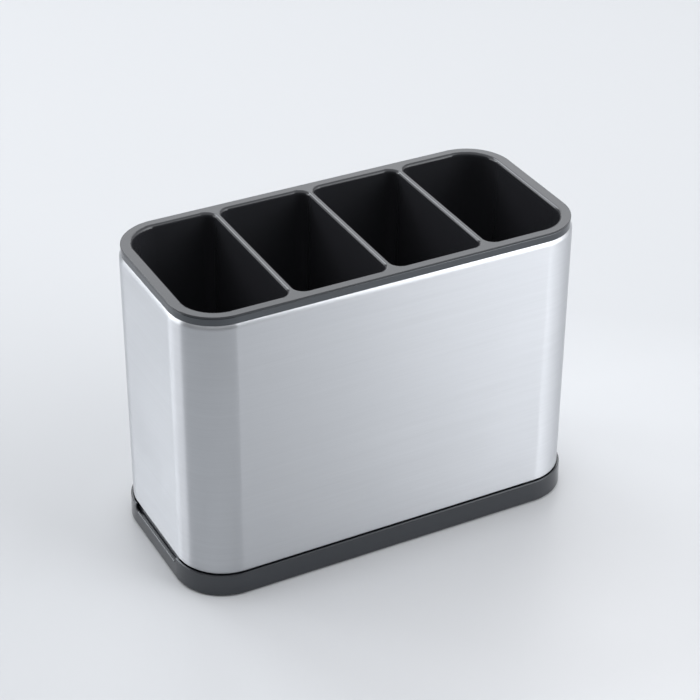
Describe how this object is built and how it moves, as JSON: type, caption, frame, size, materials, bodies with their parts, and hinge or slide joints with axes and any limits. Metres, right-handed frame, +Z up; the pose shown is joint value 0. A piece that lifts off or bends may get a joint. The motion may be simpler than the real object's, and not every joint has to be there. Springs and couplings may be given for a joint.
{
  "type": "cutlery holder",
  "caption": "Rounded rectangular cutlery holder: brushed steel sleeve, black rim and lift-out divided insert, standing on a black base tray with rubber feet.",
  "frame": {"origin": "centre of the footprint on the surface that the feet stand on", "axes": "+X along the length to the right, +Y to the back, +Z up; the front long side faces -Y"},
  "size_m": [0.2396, 0.1154, 0.1738],
  "materials": {
    "brushed_steel_sheet": "satin brushed, grain running round the sleeve",
    "collar_plastic": "semi-gloss black moulding",
    "insert_plastic": "semi-gloss black moulding",
    "base_plastic": "semi-gloss black moulding",
    "foot_rubber": "matt rubber"
  },
  "bodies": {
    "base": {"base_tray": "base_plastic", "front_left_foot": "foot_rubber", "front_right_foot": "foot_rubber", "rear_left_foot": "foot_rubber", "rear_right_foot": "foot_rubber"},
    "casing": {"steel_sleeve": "brushed_steel_sheet", "top_collar": "collar_plastic"},
    "insert": {"compartment_insert": "insert_plastic"}
  },
  "joints": [
    {"name": "casing_lift", "type": "slide", "parent": "base", "child": "casing", "axis": [0, 0, 1], "range_m": [0, 0.03]},
    {"name": "insert_lift", "type": "slide", "parent": "casing", "child": "insert", "axis": [0, 0, 1], "range_m": [0, 0.16]}
  ]
}
